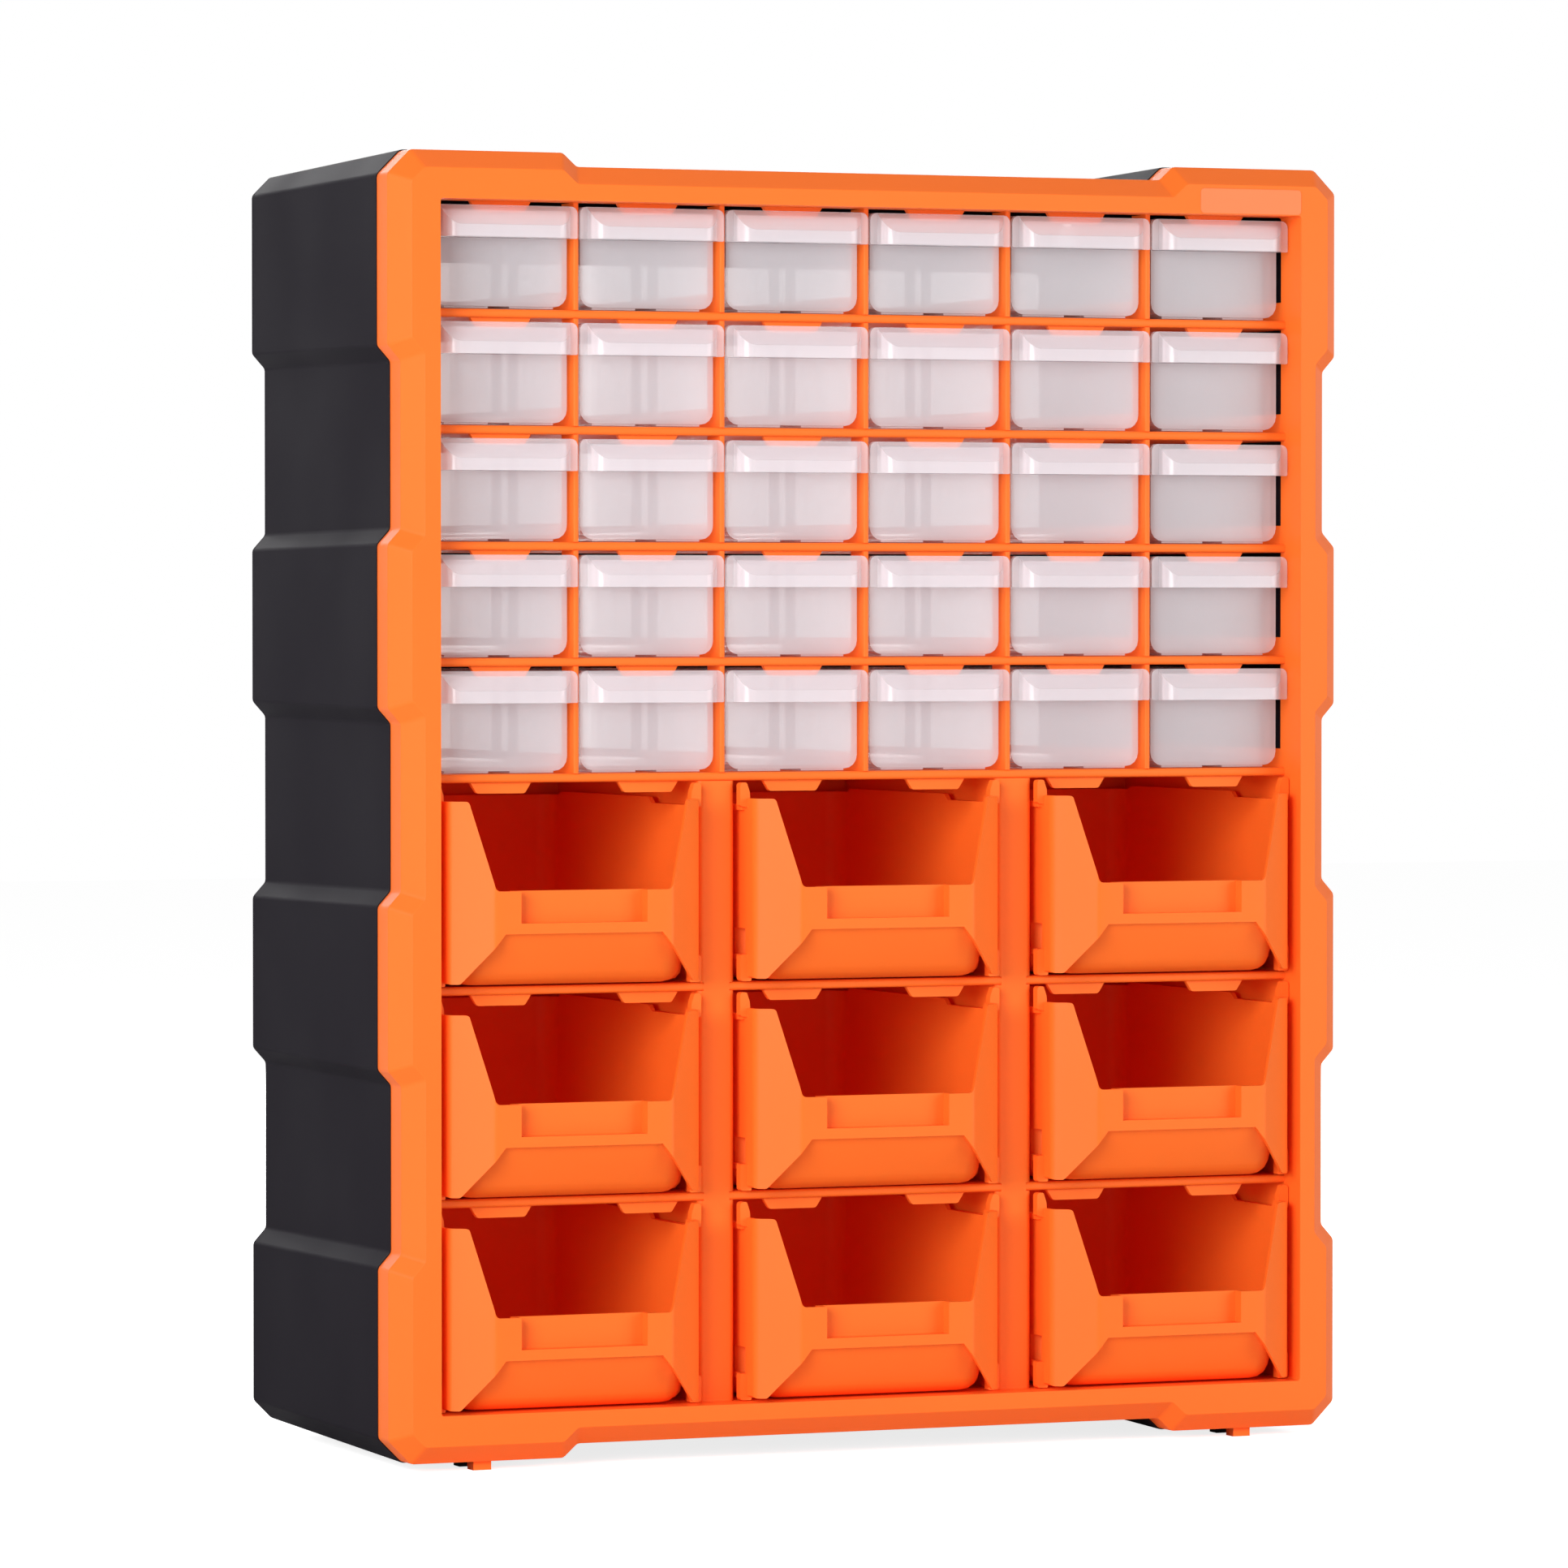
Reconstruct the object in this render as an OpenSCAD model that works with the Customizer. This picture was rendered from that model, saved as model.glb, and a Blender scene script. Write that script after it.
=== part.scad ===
// Parts bin cabinet: a moulded frame and housing that hold thirty clear drawers over nine open bins.
// Millimetres. X runs across the front, Y from the front to the back and Z up.
// The origin is on the surface that the cabinet stands on, under the middle of its bounding box.
// Depths named "..._y" are measured back from the flat face of the front frame.

/* [Cells] */
// Distance between the centres of neighbouring drawers
column_pitch = 57.3; // [56.4:0.1:60]
// Clear height of a drawer's cell
small_cell_h = 38.8; // [36:0.2:42]
// Clear height of a bin's cell
bin_cell_h = 73.5; // [70:0.5:80]
// Thickness of the shelves
shelf_t = 3.1; // [2.5:0.1:4]
// Thickness of the strips that stand between the drawers
divider_t = 2; // [1.6:0.1:2.4]
// Depth of those strips, front to back
divider_d = 12; // [9:0.5:20]
// Height of the guide rails behind the strips
rail_h = 7; // [4:0.5:10]
// Width of the pillars between the bins
pillar_w = 14.5; // [12:0.5:18]
// Depth of the back wall of the bins' cells behind the frame's face
bay_back_y = 152; // [151:0.5:156]
// Thickness of the walls around the bins' cells
bay_wall = 2; // [1.6:0.2:2.6]
// How far the shelves sit behind the face of the frame
grid_y = 13; // [12:0.5:15]

/* [Front frame] */
// Width of the frame's border around the opening
border = 18; // [17:0.5:22]
// Width of the bevel along the frame's outer edge
bevel_w = 6.6; // [5:0.2:8]
// Depth of that bevel
bevel_d = 7.6; // [5:0.2:9]
// Depth of the frame from its face to the joint with the housing
frame_d = 18; // [17.5:0.5:24]
// Wall thickness of the frame
frame_wall = 2.2; // [1.6:0.2:2.6]
// How far the wall of the opening reaches back
sleeve_d = 17; // [16:0.2:17.4]
// Rounding of the opening's corners
opening_r = 1; // [0.5:0.5:4]

/* [Outline] */
// Depth of the shallow notches along the outer edges
notch_depth = 5; // [3:0.5:5]
// Run of the slope at each end of a notch
notch_ramp = 5.5; // [4:0.5:8]
// Length of the floor of a notch on the sides
notch_len = 60; // [50:1:70]
// Distance between the centres of the side notches
notch_pitch = 130; // [120:1:140]
// Length of the raised part at each end of the top and bottom
end_len = 68; // [55:1:80]
// Size of the chamfer on the four corners
corner_chamfer = 9; // [6:0.5:12]
// Rounding of the outline's corners
outline_r = 2.4; // [1:0.2:3]

/* [Housing] */
// Depth of the cabinet from the frame's face to its back
cabinet_d = 160; // [158:1:190]
// Wall thickness of the housing
housing_wall = 2.4; // [2:0.1:2.8]
// How much each side of the housing draws in towards the back
draft = 3; // [1:0.5:4]
// How much smaller the frame's outline is than the housing's
frame_step = 0.4; // [0.2:0.1:0.8]
// Length of the lip on the frame that plugs into the housing
plug_len = 6; // [4:0.5:10]
// Height of the solid band over the back windows
back_band = 34; // [30:1:40]
// Half the width of a bar between the back windows
bar_half = 5; // [3.5:0.5:8]
// Width of the narrow slot in the middle of each bar
bar_slot_w = 3.6; // [2.4:0.2:3.8]
// Distance between the two hanging keyholes
keyhole_span = 300; // [250:2:310]
// Radius of a keyhole's entry
keyhole_r = 4.5; // [4:0.25:6]
// Radius of a keyhole's slot
keyhole_slot_r = 2.25; // [1.75:0.25:2.75]
// Height of a keyhole's slot above its entry
keyhole_rise = 9; // [8:0.5:10]

/* [Feet] */
// Height of the feet
foot_h = 3; // [2:0.5:6]
// Width of a foot
foot_w = 7; // [5:0.5:10]
// Length of a foot, front to back
foot_l = 6; // [4:0.5:8]
// Distance from the middle of the cabinet to a foot
foot_x = 152.5; // [135:0.5:165]

/* [Retaining tabs] */
// Height of the tabs that hang at the mouth of each cell
tab_h = 3.9; // [2.9:0.2:4.3]
// Width of a tab at its root
tab_w = 23.5; // [18:0.5:26]
// Thickness of a tab
tab_t = 2; // [1.6:0.2:2.4]
// How far the tabs sit behind the frame's face
tab_y = 15; // [14:0.2:15]

/* [Drawers] */
// Width of a drawer's body
drawer_w = 52.2; // [50:0.2:52.4]
// Depth of a drawer's body behind its front wall
drawer_d = 132.5; // [125:0.5:134]
// Wall thickness of a drawer
drawer_wall = 1.5; // [1.2:0.1:2]
// Rounding of the drawer's lower edges
drawer_r = 5; // [3:0.5:7]
// How far the drawer's lower front wall sits behind the frame's face
drawer_y = 16; // [15.8:0.1:17]
// Height of the wide header at the top of the front
header_h = 11.6; // [10:0.2:14]
// Thickness of the header's plate
header_t = 1.8; // [1.4:0.1:2.2]
// How far the finger pull stands out from the header
pull_d = 6; // [4.5:0.5:7]
// Width of the finger pull at its front
pull_w = 45; // [36:1:46]
// Height of the upright lip of the finger pull
pull_lip = 4.4; // [3:0.2:6]

/* [Bins] */
// Depth of a bin behind the frame's face
bin_back_y = 148; // [140:0.5:150]
// Wall thickness of a bin
bin_wall = 1.6; // [1.4:0.1:2.4]
// Width of the flat panel in the middle of a bin's front
panel_w = 69; // [66:0.5:72]
// Width of that panel's lower edge between the legs
chin_w = 60.8; // [56:0.4:64]
// How far a bin's front stands out from the frame's face
nose = 7; // [5:0.5:9]
// Half the width of the belly under a bin's front panel
belly_half = 43; // [38:0.5:45]
// Rounding of the belly's front corners
belly_r = 8; // [6:0.5:10]
// Height of a bin's underside above the runners that it slides on
belly_lift = 0.5; // [0.3:0.1:1]
// Rounding of a bin's rear corners
bin_rear_r = 8; // [6:0.5:10]
// How far back the slanted flanks of a bin's front reach
flank_y = 3; // [2:0.5:6]
// Height of the lower edge of the front panel above the cell's floor
chin_z = 19.6; // [16:0.2:21]
// Height of the lower edge of the bin's opening above the cell's floor
sill_z = 35; // [33:0.5:38]
// Width of the label recess in the front panel
label_w = 48.8; // [40:0.2:52]
// Height of the label recess, up to the lower edge of the opening
label_h = 11.6; // [9:0.2:13]
// Depth of the label recess
label_d = 5; // [3:0.5:6]

/* [Fit] */
// Gap between a drawer or bin and the shelf under it
rest_gap = 0.3; // [0.3:0.05:0.5]
// Gap between neighbouring moving pieces, and between them and the frame
side_gap = 0.45; // [0.35:0.05:0.6]
// Gap between the header and the strips that it closes against
stop_gap = 0.6; // [0.4:0.1:0.8]

/* [Hidden] */
columns = 6;
small_rows = 5;
bin_columns = 3;
bin_rows = 3;
drawer_names = [for (r = [1:small_rows]) for (c = [1:columns]) str("drawer_", r, "_", c)];
bin_names = [for (r = [1:bin_rows]) for (c = [1:bin_columns]) str("bin_", r, "_", c)];
shelf_names = [for (i = [1:small_rows + bin_rows - 1]) str("shelf_", i)];
divider_names = [for (r = [1:small_rows]) str("dividers_", r)];
bay_names = [for (r = [1:bin_rows]) str("bay_lining_", r)];
orange = "#FF6A20";
black = "#2C2A2C";
clear = "#DCD6D8";

opening_w = columns * column_pitch;
opening_h = small_rows * (small_cell_h + shelf_t) + bin_rows * (bin_cell_h + shelf_t) - shelf_t;
half_w = opening_w / 2 + border;
half_h = opening_h / 2 + border;
mid_z = foot_h + half_h;
floor_z = foot_h + border;
ceiling_z = floor_z + opening_h;
back_inner_y = cabinet_d - housing_wall;
// Y of the frame's face when the whole box, from the bins' noses to the back, is centred on Y = 0
face_y = nose - (cabinet_d + nose) / 2;
shelf_reach = opening_w / 2 + frame_wall + 2;
rail_end_y = back_inner_y - 7;
bin_cell_w = (opening_w - (bin_columns - 1) * pillar_w) / bin_columns;
small_pitch_z = small_cell_h + shelf_t;
bin_pitch_z = bin_cell_h + shelf_t;
// Highest point of a drawer above its cell's floor: the header's top
rim_z = small_cell_h - 1.6;
pillar_r = 2.2;
arc_steps = 4;
outline_steps = 2;

// X of a drawer's column, and the floors of the cells with row 1 at the top of its kind
function column_x(c) = (c - (columns + 1) / 2) * column_pitch;
function bin_x(c) = (c - (bin_columns + 1) / 2) * (bin_cell_w + pillar_w);
function pillar_x(c) = bin_x(c) + (bin_cell_w + pillar_w) / 2;
function bin_floor(r) = floor_z + (bin_rows - r) * bin_pitch_z;
function small_floor(r) = floor_z + bin_rows * bin_pitch_z + (small_rows - r) * small_pitch_z;
// Top face of the shelf under the row i, counted from the top over both kinds of row
function shelf_top(i) = i <= small_rows ? small_floor(i) : bin_floor(i - small_rows);

function unit(v) = v / norm(v);
function inward(a, b) = let (d = unit(b - a)) [-d.y, d.x];
// A counterclockwise outline moved inwards by d, with mitred corners
function inset(p, d) = [for (i = [0:len(p) - 1])
    let (m = inward(p[(i + len(p) - 1) % len(p)], p[i]), n = inward(p[i], p[(i + 1) % len(p)]))
    p[i] + d * (m + n) / (1 + m * n)];
// The arc that rounds corner b, between a and c, in n steps
function corner_arc(a, b, c, r, n) = let (u = unit(a - b), v = unit(c - b), half = acos(u * v) / 2,
    centre = b + unit(u + v) * r / sin(half), s = b + u * r / tan(half) - centre,
    e = b + v * r / tan(half) - centre, from = atan2(s.y, s.x), turn = atan2(e.y, e.x) - from,
    sweep = turn > 180 ? turn - 360 : turn < -180 ? turn + 360 : turn)
    [for (k = [0:n]) centre + r * [cos(from + sweep * k / n), sin(from + sweep * k / n)]];
// An outline whose points are [x, y, radius], with each corner rounded by its radius
function rounded(p) = [for (i = [0:len(p) - 1])
    let (a = p[(i + len(p) - 1) % len(p)], b = p[i], c = p[(i + 1) % len(p)])
    each b[2] > 0 ? corner_arc([a.x, a.y], [b.x, b.y], [c.x, c.y], b[2], arc_steps) : [[b.x, b.y]]];
// An outline with all its corners rounded by the same small radius
function softened(p, r) = [for (i = [0:len(p) - 1])
    each corner_arc(p[(i + len(p) - 1) % len(p)], p[i], p[(i + 1) % len(p)], r, outline_steps)];

// One quarter of the notched outline, from the right-hand side up to the top
function quarter_outline() = [
    [half_w - notch_depth, notch_len / 2],
    [half_w, notch_len / 2 + notch_ramp],
    [half_w, notch_pitch - notch_len / 2 - notch_ramp],
    [half_w - notch_depth, notch_pitch - notch_len / 2],
    [half_w - notch_depth, notch_pitch + notch_len / 2],
    [half_w, notch_pitch + notch_len / 2 + notch_ramp],
    [half_w, half_h - corner_chamfer],
    [half_w - corner_chamfer, half_h],
    [half_w - end_len, half_h],
    [half_w - end_len - notch_ramp, half_h - notch_depth]];
// The whole outline, counterclockwise, centred on the middle of the frame
function cabinet_outline() = let (q = quarter_outline(), last = len(q) - 1) concat(
    q, [for (i = [last:-1:0]) [-q[i].x, q[i].y]],
    [for (p = q) -p], [for (i = [last:-1:0]) [q[i].x, -q[i].y]]);
// The outline drawn in by d, with softened corners
function outline(d) = softened(inset(cabinet_outline(), d), outline_r);
// How far the housing has drawn in at the depth y
function draft_at(y) = draft * (y - frame_d) / (cabinet_d - frame_d);

// Places what is drawn from the frame's face into the part's own frame
module at_face() {
    translate([0, face_y, 0]) children();
}

// Extrudes an X-Z outline from the depth y0 to the depth y1
module slab(y0, y1) {
    translate([0, y1, 0]) rotate([90, 0, 0]) linear_extrude(y1 - y0) children();
}

// Extrudes a Y-Z outline from x0 to x1
module across(x0, x1) {
    translate([x0, 0, 0]) rotate([90, 0, 90]) linear_extrude(x1 - x0) children();
}

// The points of an X-Z outline at the depth y, and of an X-Y outline at the height z
function upright_ring(y, p) = [for (q = p) [q.x, y, mid_z + q.y]];
function level_ring(z, p) = [for (q = p) [q.x, q.y, z]];
function middle(p, n) = [for (q = p) 1] * p / n;

// Joins rings with equal numbers of points into a solid, from the first ring to the last
module skin(rings) {
    n = len(rings[0]);
    last = len(rings) - 1;
    front = (last + 1) * n;
    polyhedron(
        points = concat([for (ring = rings) each ring], [middle(rings[0], n), middle(rings[last], n)]),
        faces = concat(
            [for (i = [0:n - 1]) [front, (i + 1) % n, i]],
            [for (k = [0:last - 1]) for (i = [0:n - 1])
                [k * n + i, k * n + (i + 1) % n, (k + 1) * n + (i + 1) % n, (k + 1) * n + i]],
            [for (i = [0:n - 1]) [front + 1, last * n + i, last * n + (i + 1) % n]]));
}

module opening_shape(grow) {
    w = opening_w / 2 + grow;
    r = opening_r + grow;
    polygon(rounded([[-w, floor_z - grow, r], [w, floor_z - grow, r], [w, ceiling_z + grow, r],
        [-w, ceiling_z + grow, r]]));
}

// A row of tabs, one over each drawer column, that hang from the height z
module tabs(z) {
    root = 1;
    taper = 2.5;
    for (c = [1:columns])
        translate([column_x(c), 0, z])
            slab(tab_y, tab_y + tab_t)
                polygon(rounded([[-tab_w / 2, root, 0], [-tab_w / 2, 0, 0],
                    [-tab_w / 2 + taper, -tab_h, 1.3], [tab_w / 2 - taper, -tab_h, 1.3], [tab_w / 2, 0, 0],
                    [tab_w / 2, root, 0]]));
}

module feet(y, top) {
    for (side = [-1, 1])
        translate([side * foot_x - foot_w / 2, y, 0]) cube([foot_w, foot_l, top]);
}

module front_frame() {
    wall = frame_wall + 2 * frame_step;
    plug_gap = 0.3;
    plug_t = 1.6;
    plug_root = 5;
    plug_in = housing_wall + plug_gap;
    color(orange) at_face() {
        difference() {
            skin([upright_ring(0, outline(frame_step + bevel_w)), upright_ring(bevel_d, outline(frame_step)),
                upright_ring(frame_d, outline(frame_step))]);
            skin([upright_ring(frame_wall, outline(frame_step + bevel_w + 1)),
                upright_ring(bevel_d + 1, outline(wall)), upright_ring(frame_d + 1, outline(wall))]);
            slab(-1, frame_wall + 1) opening_shape(0);
        }
        difference() {
            skin([for (y = [frame_d - plug_root, frame_d + plug_len]) upright_ring(y, outline(plug_in))]);
            skin([for (y = [frame_d - plug_root - 1, frame_d + plug_len + 1])
                upright_ring(y, outline(plug_in + plug_t))]);
        }
        difference() {
            slab(frame_wall / 2, sleeve_d) opening_shape(frame_wall);
            slab(0, sleeve_d + 1) opening_shape(0);
        }
        tabs(ceiling_z);
        feet(frame_d - 2 - foot_l, foot_h + 1);
    }
}

// The windows in the back: one over each line between two columns, in every drawer row
module back_windows() {
    shelf_bar = 4;
    corner = 2.5;
    window_top = foot_h + 2 * half_h - back_band;
    for (r = [1:small_rows]) {
        low = small_floor(r) + shelf_bar;
        high = min(small_floor(r) + small_cell_h - shelf_bar, window_top);
        slab(back_inner_y - 1, cabinet_d + 1) {
            for (c = [1:columns - 1]) {
                x = column_x(c) + column_pitch / 2;
                w = column_pitch / 2 - bar_half;
                polygon(rounded([[x - w, low, corner], [x + w, low, corner], [x + w, high, corner],
                    [x - w, high, corner]]));
            }
            for (c = [2:columns - 1])
                translate([column_x(c) - bar_slot_w / 2, low]) square([bar_slot_w, high - low]);
        }
    }
}

module keyholes() {
    entry_z = ceiling_z - 2;
    for (side = [-1, 1])
        translate([side * keyhole_span / 2, back_inner_y - 1, entry_z]) {
            rotate([-90, 0, 0]) cylinder(r = keyhole_r, h = housing_wall + 2, $fn = 48);
            translate([0, 0, keyhole_rise])
                rotate([-90, 0, 0]) cylinder(r = keyhole_slot_r, h = housing_wall + 2, $fn = 48);
            translate([-keyhole_slot_r, 0, 0]) cube([2 * keyhole_slot_r, housing_wall + 2, keyhole_rise]);
        }
}

// The four walls of the housing, which draw in towards the back
module housing() {
    color(black) at_face() {
        difference() {
            skin([for (y = [frame_d, back_inner_y]) upright_ring(y, outline(draft_at(y)))]);
            skin([for (y = [frame_d - 1, back_inner_y + 1])
                upright_ring(y, outline(housing_wall + draft_at(y)))]);
        }
        feet(frame_d + foot_l, foot_h + draft_at(frame_d + 2 * foot_l) + 1);
        feet(cabinet_d - 2 * foot_l, foot_h + draft + 1);
    }
}

// The back of the housing, with a grid of windows and two keyholes
module back_panel() {
    color(black) at_face() difference() {
        translate([0, 0, mid_z]) slab(back_inner_y, cabinet_d) polygon(outline(draft));
        back_windows();
        keyholes();
    }
}

// A plate that fills the width of the grid, from the depth y0 to the back, with its top face at z
module plate(y0, z, nose_r) {
    across(-shelf_reach, shelf_reach)
        polygon(rounded([[y0, z - shelf_t, nose_r], [back_inner_y, z - shelf_t, 0], [back_inner_y, z, 0],
            [y0, z, nose_r]]));
}

module floor_plate() {
    color(orange) at_face() plate(sleeve_d, floor_z, 0);
}

module shelf(i) {
    z = shelf_top(i);
    color(orange) at_face() {
        difference() {
            plate(grid_y, z, 1.2);
            for (side = [-1, 1])
                translate([side > 0 ? opening_w / 2 : -shelf_reach - 1, grid_y - 1, z - shelf_t - 1])
                    cube([shelf_reach + 1 - opening_w / 2, sleeve_d - grid_y + 1, shelf_t + 2]);
        }
        tabs(z - shelf_t);
        if (i > small_rows)
            for (c = [1:bin_columns - 1])
                translate([pillar_x(c) - pillar_w / 2 + pillar_r, grid_y, z - shelf_t])
                    cube([pillar_w - 2 * pillar_r, divider_d, shelf_t]);
    }
}

// The strips between the drawers of row r: a full-height front post with a low guide rail behind it
module dividers(r) {
    edge_r = 0.7;
    color(orange) at_face()
        for (c = [1:columns - 1])
            translate([column_x(c) + column_pitch / 2, 0, small_floor(r)]) {
                linear_extrude(small_cell_h)
                    polygon(rounded([[-divider_t / 2, grid_y, edge_r], [divider_t / 2, grid_y, edge_r],
                        [divider_t / 2, grid_y + divider_d, 0], [-divider_t / 2, grid_y + divider_d, 0]]));
                translate([-divider_t / 2, grid_y + divider_d - 1, 0])
                    cube([divider_t, rail_end_y - grid_y - divider_d + 1, rail_h]);
            }
    color(orange) at_face()
        for (side = [0, 1])
            mirror([side, 0, 0])
                translate([opening_w / 2, sleeve_d, small_floor(r)])
                    cube([divider_t, rail_end_y - sleeve_d, rail_h]);
}

// The lining of the bins in row r: side walls, a back wall and two hollow pillars that are open at the front
module bay_lining(r) {
    web_t = 2.2;
    w = pillar_w / 2;
    wall_x = opening_w / 2;
    outer_x = wall_x + bay_wall;
    back_y = bay_back_y + bay_wall;
    end_y = bay_back_y + bay_wall / 2;
    color(orange) at_face() translate([0, 0, bin_floor(r)]) linear_extrude(bin_cell_h) {
        polygon([[-outer_x, sleeve_d], [-wall_x, sleeve_d], [-wall_x, bay_back_y], [wall_x, bay_back_y],
            [wall_x, sleeve_d], [outer_x, sleeve_d], [outer_x, back_y], [-outer_x, back_y]]);
        for (c = [1:bin_columns - 1])
            translate([pillar_x(c), 0])
                polygon(rounded([[-w, grid_y, pillar_r], [w, grid_y, pillar_r], [w, end_y, 0],
                    [w - bay_wall, end_y, 0], [w - bay_wall, grid_y + web_t, 0],
                    [bay_wall - w, grid_y + web_t, 0], [bay_wall - w, end_y, 0], [-w, end_y, 0]]));
    }
}

// The X-Z section of a drawer's body, drawn in by the wall t and from the height z up
module drawer_section(t, z, top, r) {
    w = drawer_w / 2 - t;
    polygon(rounded([[-w, z, r], [w, z, r], [w, top, 0], [-w, top, 0]]));
}

// The hooded finger pull, drawn in by the wall t so that it can be hollowed out from below
module pull_form(t) {
    front_y = grid_y - stop_gap - header_t - pull_d;
    root_y = grid_y - stop_gap - header_t;
    low = rim_z - header_h;
    spread = 3;
    corner_r = 6 - t;
    w = pull_w / 2 - t;
    intersection() {
        translate([0, 0, low - t])
            linear_extrude(header_h + 1)
                polygon(rounded([[-w - spread, root_y + 0.2, 0], [-w, front_y + t, corner_r],
                    [w, front_y + t, corner_r], [w + spread, root_y + 0.2, 0]]));
        across(-w - spread, w + spread)
            polygon([[front_y + t, low - 1], [root_y + 0.2, low - 1], [root_y + 0.2, rim_z - t],
                [front_y + t, low + pull_lip - t]]);
    }
}

// A drawer on its cell's floor, with X = 0 in the middle of the cell
module drawer_form() {
    runner_h = 0.7;
    base = rest_gap + runner_h;
    header_back_y = grid_y - stop_gap;
    header_y = header_back_y - header_t;
    header_z = rim_z - header_h;
    header_w = column_pitch / 2 - side_gap;
    tub_back_y = drawer_y + drawer_d;
    difference() {
        union() {
            slab(drawer_y, tub_back_y) drawer_section(0, base, rim_z, drawer_r);
            slab(header_back_y - 0.2, drawer_y + drawer_wall) drawer_section(0, header_z, rim_z, 1);
            slab(header_y, header_back_y)
                polygon(rounded([[-header_w, header_z, 0.5], [header_w, header_z, 0.5],
                    [header_w, rim_z, 2.5], [-header_w, rim_z, 2.5]]));
        }
        slab(drawer_y + drawer_wall, tub_back_y - drawer_wall)
            drawer_section(drawer_wall, base + drawer_wall, rim_z + 1, drawer_r - drawer_wall);
        slab(header_back_y, drawer_y + drawer_wall + 1)
            drawer_section(drawer_wall, header_z + drawer_wall, rim_z + 1, 0.5);
    }
    difference() {
        pull_form(0);
        pull_form(drawer_wall);
    }
    runner_w = 17;
    for (side = [-1, 1])
        mirror([side > 0 ? 1 : 0, 0, 0])
            translate([drawer_r - drawer_w / 2, drawer_y + 1, rest_gap])
                cube([runner_w, drawer_d - 2, runner_h + 0.2]);
}

module drawer(r, c) {
    color(clear, 0.6) at_face() translate([column_x(c), 0, small_floor(r)]) drawer_form();
}

// The plan of a bin, drawn in by d: straight sides and back, slanted flanks and a flat middle panel
function bin_plan(d) = inset(rounded([
    [-bin_w, bin_back_y, bin_rear_r], [-bin_w, flank_y, 4.5], [-panel_w / 2, -nose, 3],
    [panel_w / 2, -nose, 3], [bin_w, flank_y, 4.5], [bin_w, bin_back_y, bin_rear_r]]), d);
bin_w = bin_cell_w / 2 - 3.3;
// The top of the front plate, of the side walls towards the front and the back, and of the rear wall
bin_front_z = bin_cell_h - 6.4;
bin_rim_z = bin_cell_h - 8.7;
bin_high_z = bin_cell_h - 6.4;
bin_rear_z = bin_cell_h - 7.6;
// The belly's face runs down and back from behind the chin, and its edges are rounded like a tray's
belly_y = bin_wall - nose;
belly_lean = 0.55;
belly_low = rest_gap + belly_lift;
belly_edge_r = 5;
neck_y = 15;

// The tub's plan below the chin, drawn in by d, with its front face at the depth y
function tub_plan(d, y) = let (w = bin_w - d, b = belly_half - d) rounded([
    [-w, bin_back_y - d, bin_rear_r - d], [-w, neck_y + 6, 0], [-b, neck_y, 0], [-b, y, belly_r - d],
    [b, y, belly_r - d], [b, neck_y, 0], [w, neck_y + 6, 0], [w, bin_back_y - d, bin_rear_r - d]]);
// The rings of the tub's lower part, drawn in by the wall t, from the height top down
function tub_rings(t, top) = let (r = belly_edge_r - t) [
    level_ring(top, tub_plan(t, belly_y + belly_lean * (chin_z - top) + t)),
    for (a = [90:-30:0])
        let (d = t + r * (1 - sin(a)), z = belly_low + t + r * (1 - cos(a)))
        level_ring(z, tub_plan(d, belly_y + belly_lean * (chin_z - z) + d))];

// What lies behind the line of the flanks, moved in by d
module behind_flanks(d) {
    spread = 5;
    y = flank_y + spread * (flank_y + nose) / (bin_w - panel_w / 2);
    linear_extrude(chin_z + 10)
        polygon(inset([[-bin_w - spread, bin_back_y + spread], [-bin_w - spread, y], [-panel_w / 2, -nose],
            [panel_w / 2, -nose], [bin_w + spread, y], [bin_w + spread, bin_back_y + spread]], d));
}

// The Y-Z side view of a bin above its chin: the side walls step up towards the back
module bin_side_view() {
    front_y = grid_y - 1;
    step_y = 46;
    rear_y = bin_back_y - 11;
    polygon(rounded([[bin_back_y, chin_z, 0], [bin_back_y, bin_rear_z, 0], [rear_y + 2, bin_rear_z, 1],
        [rear_y, bin_high_z, 1], [step_y + 3, bin_high_z, 1], [step_y, bin_rim_z, 1],
        [front_y + 2, bin_rim_z, 1], [front_y, bin_front_z + 1, 0], [-nose - 1, bin_front_z + 1, 0],
        [-nose - 1, chin_z, 0]]));
}

// The tub of a bin with its front, before the opening and the label recess are cut
module bin_shell() {
    half = bin_cell_w / 2;
    low = chin_z + bin_wall;
    difference() {
        union() {
            intersection() {
                linear_extrude(bin_cell_h) polygon(bin_plan(0));
                across(-half, half) bin_side_view();
            }
            intersection() {
                skin(tub_rings(0, chin_z + 0.5));
                behind_flanks(bin_wall - 0.2);
            }
        }
        translate([0, 0, low]) linear_extrude(bin_cell_h) polygon(bin_plan(bin_wall));
        intersection() {
            skin(tub_rings(bin_wall, low + 0.5));
            behind_flanks(2 * bin_wall);
        }
    }
}

// The two legs: the flanks carried on down beside the belly to a rounded tip near the floor
module bin_legs() {
    foot = 1.5;
    tip_w = 4;
    reach_y = grid_y - 2;
    intersection() {
        translate([0, 0, foot])
            linear_extrude(chin_z - foot + 1)
                difference() {
                    polygon(bin_plan(0));
                    polygon(bin_plan(bin_wall));
                    translate([-bin_w, reach_y]) square([2 * bin_w, bin_back_y]);
                }
        for (side = [0, 1])
            mirror([side, 0, 0])
                slab(-nose - 1, reach_y + 1)
                    polygon(rounded([[bin_w + 0.2, foot, 1.5], [bin_w + 0.2, chin_z + 1, 0],
                        [chin_w / 2 - 1, chin_z + 1, 0], [chin_w / 2, chin_z, 0],
                        [bin_w - tip_w, foot, 1.5]]));
    }
}

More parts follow.
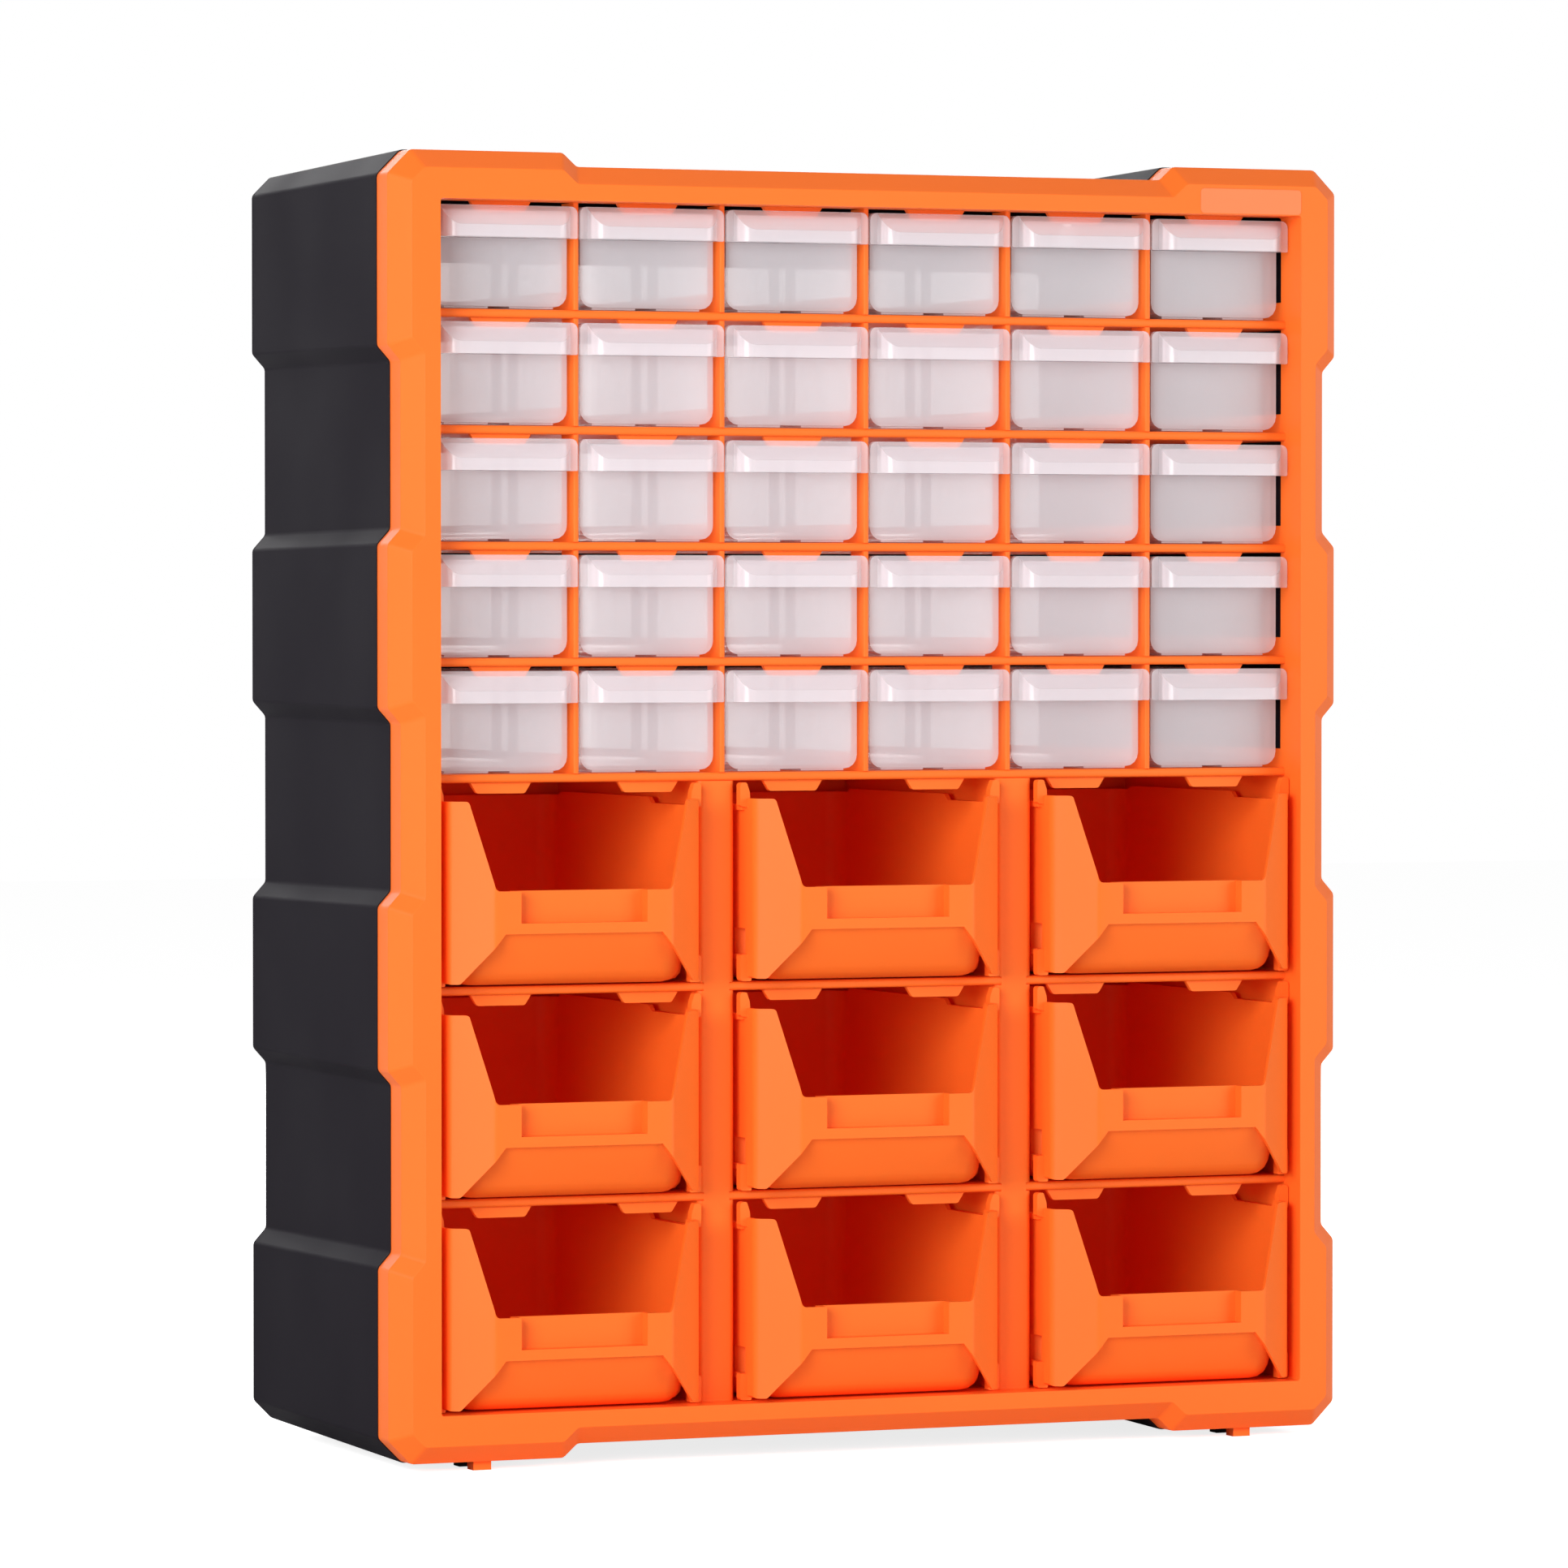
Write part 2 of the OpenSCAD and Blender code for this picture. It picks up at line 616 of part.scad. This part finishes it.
// The ears and lugs that keep a bin square in its cell, with the thin rails that run back from them
module bin_guides() {
    outer = bin_cell_w / 2 - side_gap;
    ear_z = bin_cell_h - 10.1;
    ear_top = bin_cell_h - 0.6;
    lug_z = rest_gap + 0.1;
    lug_top = 10.1;
    y0 = grid_y - 4;
    y1 = grid_y - 0.5;
    rail_t = 2;
    rail_l = bin_back_y - bin_rear_r - y1 + 1;
    for (side = [0, 1])
        mirror([side, 0, 0]) {
            slab(y0, y1)
                polygon(rounded([[bin_w - bin_wall, ear_z, 0], [outer, ear_z + 1, 0.8],
                    [outer, ear_top, 1.2], [outer - 2.6, ear_top, 0.8], [outer - 3.8, ear_top - 3.5, 2],
                    [outer - 4, bin_front_z - 1, 0], [bin_w - bin_wall, ear_z + 2, 0]]));
            slab(y0, y1)
                polygon(rounded([[bin_w - bin_wall, lug_z, 0.5], [outer, lug_z, 1.2],
                    [outer, lug_top, 0.8], [bin_w - bin_wall, lug_top, 0]]));
            for (z = [bin_rim_z, lug_top])
                translate([bin_w - 1, y1 - 1, z - rail_t])
                    cube([outer - bin_w - 0.4, rail_l, rail_t]);
        }
}

// A bin on its cell's floor, with X = 0 in the middle of the cell
module bin_form() {
    half = bin_cell_w / 2;
    mouth_top = half - 10;
    mouth_low = mouth_top - 8.5;
    label_floor = sill_z - label_h;
    label_wall = 1.8;
    runner_x = 22;
    runner_w = 13;
    runner_y = neck_y + 20;
    difference() {
        union() {
            bin_shell();
            translate([-label_w / 2 - label_wall, belly_y - 1, label_floor - label_wall])
                cube([label_w + 2 * label_wall, label_d + label_wall - bin_wall + 1,
                    label_h + 2 * label_wall]);
            bin_legs();
        }
        slab(-nose - 1, grid_y + 2)
            polygon(rounded([[-mouth_low, sill_z, 2], [mouth_low, sill_z, 2], [mouth_top, bin_front_z, 1.3],
                [half, bin_front_z, 0], [half, bin_cell_h, 0], [-half, bin_cell_h, 0],
                [-half, bin_front_z, 0], [-mouth_top, bin_front_z, 1.3]]));
        translate([-label_w / 2, -nose - 1, label_floor])
            cube([label_w, label_d + 1, sill_z]);
    }
    bin_guides();
    for (side = [0, 1])
        mirror([side, 0, 0])
            translate([runner_x, runner_y, rest_gap])
                cube([runner_w, bin_back_y - bin_rear_r - runner_y, belly_lift + 0.2]);
}

module bin(r, c) {
    color(orange) at_face() translate([bin_x(c), 0, bin_floor(r)]) bin_form();
}

front_frame();
housing();
back_panel();
floor_plate();
for (i = [1:len(shelf_names)])
    shelf(i);
for (r = [1:small_rows])
    dividers(r);
for (r = [1:bin_rows])
    bay_lining(r);
for (r = [1:small_rows]) for (c = [1:columns])
    drawer(r, c);
for (r = [1:bin_rows]) for (c = [1:bin_columns])
    bin(r, c);
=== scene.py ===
# %% [markdown]
# # Parts bin cabinet
# A moulded plastic cabinet: an orange rack in a black housing, thirty clear drawers over nine open bins.
# The solids come ready made and placed. This notebook gives them their finishes, joins the ones that are
# one moulding on the real cabinet, softens the edges, and sets up the studio and the camera.

# %% Load the solids
import math

import bmesh
import bpy
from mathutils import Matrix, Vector


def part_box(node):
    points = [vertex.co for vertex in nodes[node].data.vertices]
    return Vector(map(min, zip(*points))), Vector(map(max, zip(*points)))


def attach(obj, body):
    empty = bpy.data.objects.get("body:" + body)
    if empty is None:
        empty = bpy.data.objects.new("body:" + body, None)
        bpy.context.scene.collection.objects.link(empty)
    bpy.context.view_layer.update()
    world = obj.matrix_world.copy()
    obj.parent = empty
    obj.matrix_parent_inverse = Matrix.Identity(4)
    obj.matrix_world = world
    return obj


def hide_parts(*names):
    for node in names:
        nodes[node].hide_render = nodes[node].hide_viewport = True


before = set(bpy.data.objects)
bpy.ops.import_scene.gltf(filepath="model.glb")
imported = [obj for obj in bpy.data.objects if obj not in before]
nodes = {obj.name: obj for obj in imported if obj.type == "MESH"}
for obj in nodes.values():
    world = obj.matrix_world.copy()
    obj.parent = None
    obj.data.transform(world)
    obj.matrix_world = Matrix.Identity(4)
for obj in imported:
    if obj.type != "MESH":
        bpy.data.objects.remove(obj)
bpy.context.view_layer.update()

# %% [markdown]
# Sizes are easiest to read in millimetres, as a mould maker writes them, while Blender works in metres.
# Depths are measured back from the flat face of the orange frame, so one offset places every piece.

# %% Units and the depth of the frame's face
MM = 0.001
JOIN_DISTANCE = 0.001 * MM
FLAT_ANGLE = math.radians(0.4)
CABINET_DEPTH = 160
BIN_NOSE = 7
FACE_Y = BIN_NOSE - (CABINET_DEPTH + BIN_NOSE) / 2


def at(x, depth, z):
    """A point in metres from millimetres across, behind the frame's face and up."""
    return Vector((x * MM, (depth + FACE_Y) * MM, z * MM))


print("the frame's face is at y =", FACE_Y, "mm")

# %% [markdown]
# Colours are picked as they look on a screen, in sRGB hex. Blender's shaders add and multiply light, so
# they need linear values. One function turns one into the other.

# %% Colours


def paint(hex_colour):
    """Linear RGBA from an sRGB hex string."""
    channels = [int(hex_colour[i:i + 2], 16) / 255 for i in (1, 3, 5)]
    linear = [c / 12.92 if c <= 0.04045 else ((c + 0.055) / 1.055) ** 2.4 for c in channels]
    return (*linear, 1)


def add_node(tree, kind, settings=None, links=None):
    """Adds one shader node, sets its properties and input values, and links its inputs."""
    node = tree.nodes.new(kind)
    for name, value in (settings or {}).items():
        if isinstance(name, int) or name in node.inputs:
            node.inputs[name].default_value = value
        else:
            setattr(node, name, value)
    for name, source in (links or {}).items():
        tree.links.new(source, node.inputs[name])
    return node


def new_material(name):
    """An empty node material and its tree."""
    material = bpy.data.materials.new(name)
    material.use_nodes = True
    material.node_tree.nodes.clear()
    return material, material.node_tree


print("orange on screen #FF7628 is linear", [round(v, 3) for v in paint("#FF7628")])

# %% [markdown]
# The orange and black parts are injection-moulded polypropylene. It has a satin skin with soft, wide
# highlights. In deep corners the orange turns red, because light that bounces between orange walls loses
# its blue and green first, and the path tracer does that by itself. The fine grain is spark erosion from
# the mould, about 0.3 mm and drawn at 0.45 mm so that it shows. The slow waviness is the walls' shrinkage
# as they cool. Both are noise, worked out from real sizes through object coordinates. The housing reflects
# much less than real polypropylene does, because the photograph shows it almost black from the side.

# %% Orange and black polypropylene
GRAIN_SIZE = 0.45 * MM
WAVE_SIZE = 60 * MM
ROUGHNESS_SPREAD = 0.04


def moulded_plastic(name, colour, roughness, specular, grain_depth, wave_depth):
    """A satin injection-moulded plastic: one colour, a fine mould grain and a slow waviness, in mm deep."""
    material, tree = new_material(name)
    place = add_node(tree, "ShaderNodeTexCoord")
    grain = add_node(tree, "ShaderNodeTexNoise", {"Scale": 1 / GRAIN_SIZE, "Detail": 2.0},
                     {"Vector": place.outputs["Object"]})
    wave = add_node(tree, "ShaderNodeTexNoise", {"Scale": 1 / WAVE_SIZE, "Detail": 1.0},
                    {"Vector": place.outputs["Object"]})
    slow = add_node(tree, "ShaderNodeBump", {"Strength": 1.0, "Distance": wave_depth * MM},
                    {"Height": wave.outputs["Fac"]})
    bump = add_node(tree, "ShaderNodeBump", {"Strength": 0.5, "Distance": grain_depth * MM},
                    {"Height": grain.outputs["Fac"], "Normal": slow.outputs["Normal"]})
    rough = add_node(tree, "ShaderNodeMapRange",
                     {"From Min": 0.3, "From Max": 0.7, "To Min": roughness - ROUGHNESS_SPREAD,
                      "To Max": roughness + ROUGHNESS_SPREAD},
                     {"Value": wave.outputs["Fac"]})
    shade = add_node(tree, "ShaderNodeMapRange", {"To Min": 0.975, "To Max": 1.025},
                     {"Value": wave.outputs["Fac"]})
    tint = add_node(tree, "ShaderNodeHueSaturation", {"Color": paint(colour)},
                    {"Value": shade.outputs["Result"]})
    skin = add_node(tree, "ShaderNodeBsdfPrincipled", {"IOR": 1.49, "Specular IOR Level": specular},
                    {"Base Color": tint.outputs["Color"], "Roughness": rough.outputs["Result"],
                     "Normal": bump.outputs["Normal"]})
    add_node(tree, "ShaderNodeOutputMaterial", links={"Surface": skin.outputs["BSDF"]})
    return material


orange_plastic = moulded_plastic("orange_polypropylene", "#FF7628", 0.46, 0.2, 0.02, 0.03)
black_plastic = moulded_plastic("black_polypropylene", "#211E24", 0.52, 0.012, 0.02, 0.02)
# The label plate's orange is a shade lighter than the frame's: painted sheen.
plate_plastic = moulded_plastic("orange_label_plate", "#FF8048", 0.35, 0.3, 0.01, 0.01)
print(orange_plastic.name, black_plastic.name, plate_plastic.name)

# %% [markdown]
# The drawers are clear polypropylene, which is never as clear as glass: each wall adds a little milk, and
# more where the eye looks along it. Layer Weight raises the milk at grazing angles, and adds a weak gloss in
# the same way on both sides of a wall. There are three finishes, lit and shaded copies of one plastic: the
# walls, tinted blue-grey to offset the orange light that bounces onto them; the denser edges and rims, whose
# dark grey is painted shade; and the front faces, which are milkiest and whose near white is painted light.
# Their covers were chosen to match the photograph and are no measured values. A wall casts less shadow than
# its cover would, so that light gets into the drawers.

# %% Milky clear polypropylene
SHADOW_SHARE = 0.45
BACK_LIT_SHARE = 0.2
GLOSS_SQUARE_ON = 0.03
GLOSS_EDGE_ON = 0.35


def milky_plastic(name, colour, milk, edge_milk, roughness):
    """A translucent moulded wall: milk is its cover seen square on, edge_milk seen edge on."""
    material, tree = new_material(name)
    facing = add_node(tree, "ShaderNodeLayerWeight", {"Blend": 0.5})
    steep = add_node(tree, "ShaderNodeMath", {"operation": "POWER", 1: 2.0}, {0: facing.outputs["Facing"]})
    cover = add_node(tree, "ShaderNodeMapRange", {"To Min": milk, "To Max": edge_milk},
                     {"Value": steep.outputs[0]})
    ray = add_node(tree, "ShaderNodeLightPath")
    let_in = add_node(tree, "ShaderNodeMapRange", {"To Min": 1.0, "To Max": SHADOW_SHARE},
                      {"Value": ray.outputs["Is Shadow Ray"]})
    share = add_node(tree, "ShaderNodeMath", {"operation": "MULTIPLY"}, {0: cover.outputs["Result"],
                                                                        1: let_in.outputs["Result"]})
    front_lit = add_node(tree, "ShaderNodeBsdfDiffuse", {"Color": paint(colour)})
    back_lit = add_node(tree, "ShaderNodeBsdfTranslucent", {"Color": paint(colour)})
    haze = add_node(tree, "ShaderNodeMixShader", {0: BACK_LIT_SHARE},
                    {1: front_lit.outputs[0], 2: back_lit.outputs[0]})
    clear = add_node(tree, "ShaderNodeBsdfTransparent")
    wall = add_node(tree, "ShaderNodeMixShader", links={0: share.outputs[0], 1: clear.outputs[0],
                                                        2: haze.outputs[0]})
    shine = add_node(tree, "ShaderNodeBsdfGlossy", {"Roughness": roughness})
    graze = add_node(tree, "ShaderNodeMath", {"operation": "POWER", 1: 4.0}, {0: facing.outputs["Facing"]})
    gloss = add_node(tree, "ShaderNodeMapRange", {"To Min": GLOSS_SQUARE_ON, "To Max": GLOSS_EDGE_ON},
                     {"Value": graze.outputs[0]})
    skin = add_node(tree, "ShaderNodeMixShader", links={0: gloss.outputs["Result"], 1: wall.outputs[0],
                                                        2: shine.outputs[0]})
    add_node(tree, "ShaderNodeOutputMaterial", links={"Surface": skin.outputs[0]})
    return material


# The walls' blue-grey tint offsets orange bounce light, the edges' dark grey is painted shade, and the
# fronts' near white is painted light.
clear_plastic = milky_plastic("clear_polypropylene", "#D6DAE0", 0.09, 0.6, 0.15)
clear_edge = milky_plastic("clear_polypropylene_edge", "#86828A", 0.5, 0.65, 0.2)
clear_front = milky_plastic("clear_polypropylene_front", "#FAF4F9", 0.5, 0.75, 0.15)
print(clear_plastic.name, clear_edge.name, clear_front.name)

# %% [markdown]
# The solids that a moulding is made of touch face to face, which would leave seams as fine as a hair. A
# boolean union of clean copies joins them into the one piece that comes out of the mould, and the copies
# then go.

# %% Join solids into one moulding


def clean_copy(name):
    """A copy of a solid's mesh with its split corners joined."""
    work = bmesh.new()
    work.from_mesh(nodes[name].data)
    bmesh.ops.remove_doubles(work, verts=work.verts, dist=JOIN_DISTANCE)
    mesh = bpy.data.meshes.new(name + "_copy")
    work.to_mesh(mesh)
    work.free()
    return mesh


def moulded_as_one(names):
    """The mesh of several touching solids as one closed piece, in a bmesh."""
    solids = [bpy.data.objects.new(name + "_copy", clean_copy(name)) for name in names]
    others = bpy.data.collections.new("others")
    bpy.context.scene.collection.children.link(others)
    bpy.context.scene.collection.objects.link(solids[0])
    for solid in solids[1:]:
        others.objects.link(solid)
    union = solids[0].modifiers.new("union", "BOOLEAN")
    union.operation, union.solver = "UNION", "MANIFOLD"
    union.operand_type, union.collection = "COLLECTION", others
    seen = solids[0].evaluated_get(bpy.context.evaluated_depsgraph_get())
    work = bmesh.new()
    work.from_mesh(seen.to_mesh())
    for solid in solids:
        bpy.data.objects.remove(solid)
    bpy.data.collections.remove(others)
    return work


def flatten(work, wanted=lambda point: True):
    """Clears the edges that cross flat faces, where both ends are wanted."""
    edges = [edge for edge in work.edges if all(wanted(v.co) for v in edge.verts)]
    bmesh.ops.dissolve_limit(work, angle_limit=FLAT_ANGLE, verts=[], edges=edges)


rack_names = [n for n in nodes if n.split("_")[0] in ("front", "floor", "shelf", "dividers", "bay")]
rack_work = moulded_as_one(rack_names)
shell_work = moulded_as_one(["housing", "back_panel"])
print("rack from", len(rack_names), "solids:", len(rack_work.faces), "faces; housing:", len(shell_work.faces))

# %% [markdown]
# A moulding never has a knife edge. The bevels go into the mesh itself, widest along the frame's creases
# and finer elsewhere, and the inner corners get them too, as the small fillets that help plastic flow. Faces
# then shade smooth, except across true corners, and weighted normals keep the flat faces flat.

# %% Round the edges and make the piece


def sharp_edges(work, degrees, wanted=lambda point: True):
    """The edges whose faces turn by more than the angle, where both ends are wanted."""
    return [edge for edge in work.edges if len(edge.link_faces) == 2
            and edge.calc_face_angle(0) > math.radians(degrees) and all(wanted(v.co) for v in edge.verts)]


def round_edges(work, edges, radius_mm, finish=-1):
    """Bevels the edges of a bmesh, with the bevel's own finish if one is given."""
    bmesh.ops.bevel(work, geom=edges, offset=radius_mm * MM, offset_type="OFFSET", segments=2, profile=0.5,
                    affect="EDGES", clamp_overlap=True, loop_slide=True, material=finish)


def finished_mesh(work, name, finishes):
    """Turns the bmesh into a smooth shaded mesh with its finishes."""
    for face in work.faces:
        face.smooth = True
    mesh = bpy.data.meshes.new(name)
    work.to_mesh(mesh)
    work.free()
    mesh.set_sharp_from_angle(angle=math.radians(50))
    for finish in finishes:
        mesh.materials.append(finish)
    return mesh


def put(mesh, name, body, stands_for, place=(0, 0, 0)):
    """Places a mesh as a piece that rides on a body and stands for solids."""
    piece = bpy.data.objects.new(name, mesh)
    piece.location = place
    bpy.context.collection.objects.link(piece)
    piece.modifiers.new("even", "WEIGHTED_NORMAL").keep_sharp = True
    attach(piece, body)
    if stands_for:
        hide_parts(*stands_for)
    return piece


OPENING_HALF = 172.5
OPENING_TOP = 457.5
OPENING_BOTTOM = 20.5
FRAME_FRONT_DEPTH = 12
BACK_FACE_DEPTH = 157


def on_frame(point):
    """True on the front of the frame, outside the opening."""
    front = point.y < at(0, FRAME_FRONT_DEPTH, 0).y
    outside = abs(point.x) > OPENING_HALF * MM or not OPENING_BOTTOM * MM < point.z < OPENING_TOP * MM
    return front and outside


def before_back(point):
    """True in front of the back panel, whose windows have to stay open."""
    return point.y < at(0, BACK_FACE_DEPTH, 0).y


def on_shell(point):
    """True on the housing's walls and on the rim of its back."""
    return before_back(point) or abs(point.x) > 170 * MM or not 20 * MM < point.z < 465 * MM


flatten(rack_work)
round_edges(rack_work, sharp_edges(rack_work, 25, on_frame), 0.9)
round_edges(rack_work, sharp_edges(rack_work, 50, lambda point: not on_frame(point)), 0.3)
rack = put(finished_mesh(rack_work, "rack", [orange_plastic]), "rack", "cabinet",
           rack_names)
flatten(shell_work, before_back)
round_edges(shell_work, sharp_edges(shell_work, 30, on_shell), 0.6)
shell = put(finished_mesh(shell_work, "housing_shell", [black_plastic]), "housing_shell", "cabinet",
            ["housing", "back_panel"])
print("rack", len(rack.data.polygons), "faces; housing", len(shell.data.polygons))

# %% [markdown]
# The thirty drawers come out of one mould, so they share one mesh: a copy of the first drawer with rounded
# edges, each edge in the denser finish with its painted shade and the front in the milkiest, painted lighter.
# The mesh starts at its own low corner, so each drawer is placed at the low corner of its solid's box.

# %% Drawers
WALL, EDGE, FRONT = range(3)
FRONT_DEPTH = 18 * MM
drawer_names = [name for name in nodes if name.startswith("drawer")]
first_low = Vector(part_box("drawer_1_1")[0])
drawer_work = bmesh.new()
drawer_work.from_mesh(clean_copy("drawer_1_1"))
flatten(drawer_work)
round_edges(drawer_work, sharp_edges(drawer_work, 40), 0.3, EDGE)
bmesh.ops.translate(drawer_work, verts=drawer_work.verts, vec=-first_low)
drawer_mesh = finished_mesh(drawer_work, "clear_drawer", [clear_plastic, clear_edge, clear_front])
for face in drawer_mesh.polygons:
    if face.material_index == WALL and face.normal.y < -0.3 and face.center.y < FRONT_DEPTH:
        face.material_index = FRONT
for name in drawer_names:
    put(drawer_mesh, "clear_" + name, name, [name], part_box(name)[0])
print(len(drawer_names), "drawers of", len(drawer_mesh.polygons), "faces")

# %% [markdown]
# The bins keep their solids. Their rounded bellies are made of flat strips, so a small geometry node group
# shades faces smooth wherever they meet at a low angle. Before it, one modifier joins the split corners and
# one clears the edges that cross flat faces. After it, one rounds the sharp edges.

# %% Bins
smooth = bpy.data.node_groups.new("smooth_by_angle", "GeometryNodeTree")
for direction in ("INPUT", "OUTPUT"):
    smooth.interface.new_socket("Geometry", in_out=direction, socket_type="NodeSocketGeometry")
start = add_node(smooth, "NodeGroupInput")
angle = add_node(smooth, "GeometryNodeInputMeshEdgeAngle")
sharp = add_node(smooth, "FunctionNodeCompare", {"operation": "GREATER_THAN", "B": math.radians(33)},
                 {"A": angle.outputs["Unsigned Angle"]})
faces = add_node(smooth, "GeometryNodeSetShadeSmooth", {"domain": "FACE"}, {"Geometry": start.outputs[0]})
edges = add_node(smooth, "GeometryNodeSetShadeSmooth", {"domain": "EDGE", "Shade Smooth": False},
                 {"Geometry": faces.outputs[0], "Selection": sharp.outputs[0]})
add_node(smooth, "NodeGroupOutput", links={"Geometry": edges.outputs[0]})

bin_names = [name for name in nodes if name.startswith("bin")]
for name in bin_names:
    piece = nodes[name]
    for place in piece.material_slots:
        place.material = orange_plastic
    piece.modifiers.new("join", "WELD").merge_threshold = JOIN_DISTANCE
    flat = piece.modifiers.new("clear", "DECIMATE")
    flat.decimate_type, flat.angle_limit = "DISSOLVE", FLAT_ANGLE
    piece.modifiers.new("smooth", "NODES").node_group = smooth
    bevel = piece.modifiers.new("round", "BEVEL")
    bevel.width, bevel.segments, bevel.angle_limit = 0.4 * MM, 2, math.radians(35)
    bevel.harden_normals = True
print(len(bin_names), "bins")

# %% [markdown]
# A blank plate for a label sits in the frame's upper right corner. It is polished and glossier than the
# frame, its colour is painted a shade lighter as painted sheen, and it stands a quarter of a millimetre
# proud.

# %% Label plate
PLATE = {"left": 130, "right": 171.7, "low": 457.5, "high": 466.8, "corner": 1.5, "proud": 0.25}
PLATE_THICKNESS = 1 * MM
outline = []
for x, z, turn in ((PLATE["right"], PLATE["high"], 0), (PLATE["left"], PLATE["high"], 90),
                   (PLATE["left"], PLATE["low"], 180), (PLATE["right"], PLATE["low"], 270)):
    middle_x = x - math.copysign(PLATE["corner"], x - (PLATE["left"] + PLATE["right"]) / 2)
    middle_z = z - math.copysign(PLATE["corner"], z - (PLATE["low"] + PLATE["high"]) / 2)
    for step in range(7):
        turned = math.radians(turn + step * 15)
        outline.append((middle_x + PLATE["corner"] * math.cos(turned),
                        middle_z + PLATE["corner"] * math.sin(turned)))
plate_work = bmesh.new()
front = plate_work.faces.new([plate_work.verts.new(at(x, -PLATE["proud"], z)) for x, z in outline])
grown = bmesh.ops.extrude_face_region(plate_work, geom=[front])
back = [v for v in grown["geom"] if isinstance(v, bmesh.types.BMVert)]
bmesh.ops.translate(plate_work, verts=back, vec=(0, PLATE_THICKNESS, 0))
bmesh.ops.recalc_face_normals(plate_work, faces=plate_work.faces)
round_edges(plate_work, sharp_edges(plate_work, 60, lambda point: point.y < at(0, 0, 0).y), 0.15)
plate = put(finished_mesh(plate_work, "label_plate", [plate_plastic]), "label_plate", "cabinet",
            [])
print("label plate", [round(v / MM, 1) for v in plate.dimensions], "mm")

# %% [markdown]
# The camera stands where the photograph was taken: well to the left, about 3 m away with a long lens, so
# that the upright lines stay almost parallel. Its place came from fitting the cabinet's corners.

# %% Camera
lens = bpy.data.cameras.new("camera")
lens.sensor_width = 36
lens.lens = 186.55
camera = bpy.data.objects.new("camera", lens)
bpy.context.collection.objects.link(camera)
camera.location = (-1.20215, -2.7967, 0.31118)
camera.rotation_euler = (math.radians(88.75), 0, math.radians(-23.16))
bpy.context.scene.camera = camera
print("camera", [round(v, 3) for v in camera.location], "lens", lens.lens)

# %% [markdown]
# Plain studio light: two softboxes a little above the middle of the cabinet, the stronger one to the left
# of the camera and a fill to the right, a lamp behind that shines in through the windows of the back, and a
# dim pale room. The room is white only where the camera, a reflection or a clear wall looks at it, so the
# backdrop is white without lighting the object any more.
# A lamp's power is set from its distance, so that a face square to the key light gets about its own colour.

# %% Light and background
CABINET_MIDDLE = Vector((0, 0, 0.24))


def softbox(name, turn, distance, height, size, level):
    """A square lamp at a turn from straight ahead, whose level is what a face square to it gets."""
    light = bpy.data.lights.new(name, "AREA")
    light.size = size
    light.energy = level * math.pi ** 2 * distance ** 2
    lamp = bpy.data.objects.new(name, light)
    bpy.context.collection.objects.link(lamp)
    side = math.radians(turn)
    lamp.location = (math.sin(side) * distance, -math.cos(side) * distance, height)
    aim = CABINET_MIDDLE - lamp.location
    lamp.rotation_euler = aim.to_track_quat("-Z", "Y").to_euler()
    return lamp


key = softbox("key_light", -50, 2.2, 0.75, 1.2, 0.86)
fill = softbox("right_fill", 45, 2.2, 0.7, 1.2, 0.42)
back = softbox("back_light", 170, 2.2, 0.9, 1.6, 0.9)

ROOM_LEVEL = 0.2
world = bpy.data.worlds.new("studio")
world.use_nodes = True
bpy.context.scene.world = world
room = world.node_tree
room.nodes.clear()
ray = add_node(room, "ShaderNodeLightPath")
seen = add_node(room, "ShaderNodeMath", {"operation": "MAXIMUM"}, {0: ray.outputs["Is Camera Ray"],
                                                                  1: ray.outputs["Is Glossy Ray"]})
seen = add_node(room, "ShaderNodeMath", {"operation": "MAXIMUM"}, {0: seen.outputs[0],
                                                                  1: ray.outputs["Is Transmission Ray"]})
strength = add_node(room, "ShaderNodeMapRange", {"To Min": ROOM_LEVEL, "To Max": 1.0},
                    {"Value": seen.outputs[0]})
sky = add_node(room, "ShaderNodeBackground", {"Color": (1, 1, 1, 1)},
               {"Strength": strength.outputs["Result"]})
add_node(room, "ShaderNodeOutputWorld", links={"Surface": sky.outputs["Background"]})

bpy.context.scene.view_settings.view_transform = "Standard"
bpy.context.scene.cycles.transparent_max_bounces = 24
bpy.context.scene.cycles.diffuse_bounces = 8
print("lamps", {lamp.name: round(lamp.data.energy, 1) for lamp in (key, fill, back)}, "W")

# %% [markdown]
# The floor is a large pale sheet. For the camera it glows a little on top of its own colour, so it runs out
# into the white backdrop and still keeps the soft shadow under the cabinet.

# %% Floor
floor_mesh = bpy.data.meshes.new("studio_floor")
floor_mesh.from_pydata([(-6, -6, 0), (6, -6, 0), (6, 6, 0), (-6, 6, 0)], [], [(0, 1, 2, 3)])
floor = bpy.data.objects.new("studio_floor", floor_mesh)
bpy.context.collection.objects.link(floor)
paper, tree = new_material("backdrop_paper")
ray = add_node(tree, "ShaderNodeLightPath")
matt = add_node(tree, "ShaderNodeBsdfDiffuse", {"Color": paint("#F4F4F4")})
glow = add_node(tree, "ShaderNodeEmission", {"Color": (1, 1, 1, 1), "Strength": 0.8})
both = add_node(tree, "ShaderNodeAddShader", links={0: matt.outputs[0], 1: glow.outputs[0]})
pick = add_node(tree, "ShaderNodeMixShader", links={0: ray.outputs["Is Camera Ray"], 1: matt.outputs[0],
                                                    2: both.outputs[0]})
add_node(tree, "ShaderNodeOutputMaterial", links={"Surface": pick.outputs[0]})
floor_mesh.materials.append(paper)
print("floor", floor.dimensions[:])
